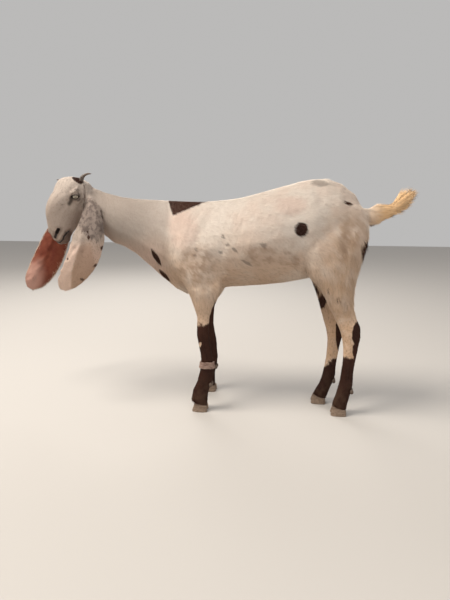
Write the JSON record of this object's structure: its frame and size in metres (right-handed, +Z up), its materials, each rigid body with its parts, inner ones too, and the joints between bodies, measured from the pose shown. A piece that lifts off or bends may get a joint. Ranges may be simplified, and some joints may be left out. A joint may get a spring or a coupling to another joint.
{
  "type": "goat",
  "caption": "Life-size standing goat, a lop-eared young doe with short horns, white with black patches and dark lower legs, head lowered and turned aside.",
  "frame": {"origin": "on the floor, under the middle of the box round the whole goat", "axes": "+Z up; the goat faces -Y, its tail points to +Y and its left side is +X"},
  "size_m": [0.2516, 1.4406, 0.8542],
  "materials": {
    "hide": "short soft hair, white with black patches and stockings",
    "ear_hide": "thin hairy skin, red-brown and bare inside",
    "eye": "wet, pale iris with a level slit pupil",
    "horn": "ringed keratin",
    "hoof": "dusty keratin",
    "dewclaw": "worn keratin",
    "cloth_strip": "torn cotton strip, tied"
  },
  "bodies": {
    "root": {"head": "hide", "eye_left": "eye", "horn_left": "horn", "eye_right": "eye", "horn_right": "horn", "ear_left": "ear_hide", "ear_right": "ear_hide", "dewclaw_fore_left_inner": "dewclaw", "dewclaw_fore_left_outer": "dewclaw", "foreleg_left": "hide", "dewclaw_fore_right_outer": "dewclaw", "dewclaw_fore_right_inner": "dewclaw", "foreleg_right": "hide", "dewclaw_hind_left_inner": "dewclaw", "dewclaw_hind_left_outer": "dewclaw", "hindleg_left": "hide", "dewclaw_hind_right_outer": "dewclaw", "dewclaw_hind_right_inner": "dewclaw", "hindleg_right": "hide", "neck": "hide", "tail": "hide", "trunk": "hide", "hoof_fore_left_inner": "hoof", "hoof_fore_left_outer": "hoof", "hoof_fore_right_outer": "hoof", "hoof_fore_right_inner": "hoof", "hoof_hind_left_inner": "hoof", "hoof_hind_left_outer": "hoof", "hoof_hind_right_outer": "hoof", "hoof_hind_right_inner": "hoof", "leg_band": "cloth_strip"}
  },
  "joints": []
}
